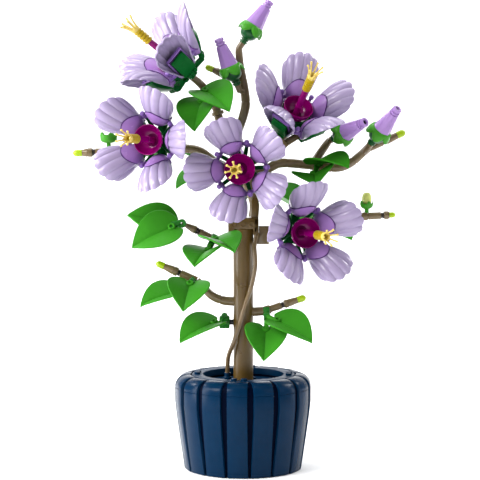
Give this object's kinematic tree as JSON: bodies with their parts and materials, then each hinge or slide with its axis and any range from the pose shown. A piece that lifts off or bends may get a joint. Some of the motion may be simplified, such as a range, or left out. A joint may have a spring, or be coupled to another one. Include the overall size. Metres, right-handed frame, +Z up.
{
  "type": "moulded plastic model hibiscus in a pot",
  "caption": "Ornamental model hibiscus of glossy moulded plastic: a slim trunk with level boughs, large lilac blooms, folded leaves and buds, set in a dark blue staved pot",
  "frame": {"origin": "The middle of the pot's flat underside, where it stands on a shelf or table", "axes": "+Z is up along the trunk, -Y is the front that the picture shows, and +X is to the right when looking at that front"},
  "size_m": [0.2651, 0.1482, 0.3729],
  "materials": {
    "pot_blue": "gloss",
    "bough_tan": "gloss",
    "trunk_tan": "gloss",
    "petal_lilac": "gloss",
    "centre_magenta": "gloss",
    "calyx_green": "gloss",
    "bud_violet": "gloss",
    "cup_green": "gloss",
    "leaf_green": "gloss",
    "bud_lime": "gloss"
  },
  "bodies": {
    "root": {"pot_wall": "pot_blue", "pot_floor": "pot_blue", "pot_rim": "pot_blue", "trunk_column": "trunk_tan", "trunk_collar": "bough_tan", "upper_trunk": "bough_tan", "arm_right": "bough_tan", "vine": "bough_tan", "stub_left": "bough_tan", "bough_left": "bough_tan", "bough_upper_left": "bough_tan", "bough_top": "bough_tan", "bough_upper_right": "bough_tan", "bough_right": "bough_tan", "bough_mid_right": "bough_tan", "bough_mid_left": "bough_tan", "bough_low_left": "bough_tan", "bough_low_right": "bough_tan", "bough_back": "bough_tan", "flower_centre_petals": "petal_lilac", "flower_centre_calyx": "calyx_green", "flower_centre_centre": "centre_magenta", "flower_left_petals": "petal_lilac", "flower_left_calyx": "calyx_green", "flower_left_centre": "centre_magenta", "flower_right_petals": "petal_lilac", "flower_right_calyx": "calyx_green", "flower_right_centre": "centre_magenta", "flower_top_right_petals": "petal_lilac", "flower_top_right_calyx": "calyx_green", "flower_top_right_centre": "centre_magenta", "flower_top_left_petals": "petal_lilac", "flower_top_left_calyx": "calyx_green", "flower_top_left_centre": "centre_magenta", "bud_top_cone": "bud_violet", "bud_top_calyx": "cup_green", "bud_top_left_cone": "bud_violet", "bud_top_left_calyx": "cup_green", "bud_right_cone": "bud_violet", "bud_right_calyx": "cup_green", "bud_far_right_cone": "bud_violet", "bud_far_right_calyx": "cup_green", "bud_back_cone": "bud_violet", "bud_back_calyx": "cup_green", "bud_small_left": "cup_green", "bud_small_right": "bud_lime", "leaves_top_left": "leaf_green", "leaves_left": "leaf_green", "leaves_behind_right": "leaf_green", "leaves_trunk_left": "leaf_green", "leaves_low_left": "leaf_green", "leaves_low_stub": "leaf_green", "leaves_low_right": "leaf_green", "leaves_back_left": "leaf_green", "leaves_back_right": "leaf_green", "leaves_back_centre": "leaf_green", "leaves_mid_left": "leaf_green", "leaves_right": "leaf_green"}
  },
  "joints": []
}
